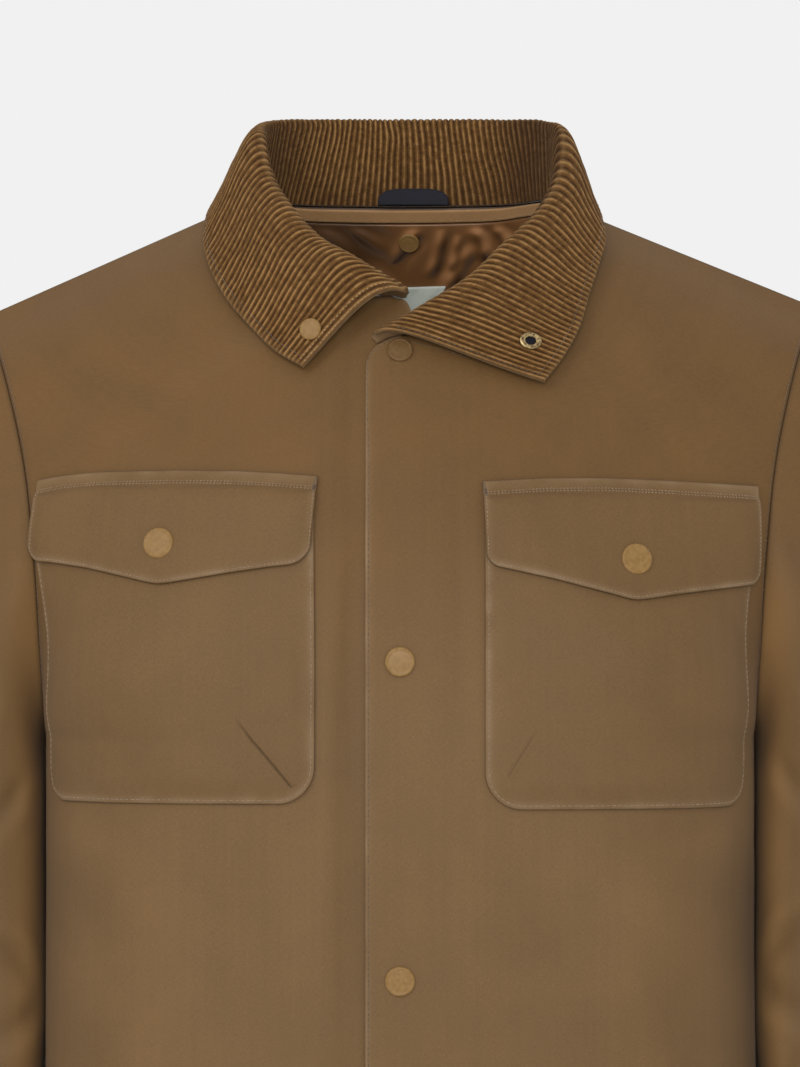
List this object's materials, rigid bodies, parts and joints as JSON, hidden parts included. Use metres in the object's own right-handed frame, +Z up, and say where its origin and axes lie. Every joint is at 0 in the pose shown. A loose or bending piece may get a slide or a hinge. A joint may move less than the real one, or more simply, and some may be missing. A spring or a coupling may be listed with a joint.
{
  "type": "waxed cotton jacket filled out with no wearer",
  "caption": "Hip-length waxed cotton work jacket with a turned-down corduroy collar, snap front and flapped chest pockets, hollow and open at neck, hem and cuffs.",
  "frame": {"origin": "middle of the neck, level with the points where the shoulder seams meet the collar", "axes": "+Z up, the front faces -Y, the wearer's left is at +X"},
  "size_m": [0.628, 0.2507, 0.7828],
  "materials": {
    "waxed_cotton": "dry waxed twill-weave cotton",
    "corduroy": "cut-pile corduroy",
    "satin_lining": "satin",
    "navy_twill": "cotton twill",
    "snap_enamel": "semi-gloss enamel",
    "brass": "antique, polished rim",
    "label_cloth": "woven, blank"
  },
  "bodies": {
    "root": {"front_left": "waxed_cotton", "front_right": "waxed_cotton", "back": "waxed_cotton", "sleeve_left": "waxed_cotton", "sleeve_right": "waxed_cotton", "collar": "corduroy", "pocket_left": "waxed_cotton", "pocket_right": "waxed_cotton", "flap_left": "waxed_cotton", "flap_right": "waxed_cotton", "snap_placket_1": "snap_enamel", "snap_placket_2": "snap_enamel", "snap_placket_3": "snap_enamel", "snap_placket_4": "snap_enamel", "snap_flap_left": "snap_enamel", "snap_flap_right": "snap_enamel", "snap_collar": "snap_enamel", "socket_collar": "brass", "neck_facing": "waxed_cotton", "lining": "satin_lining", "snap_lining": "snap_enamel", "hanger_loop": "navy_twill", "label": "label_cloth"}
  },
  "joints": []
}
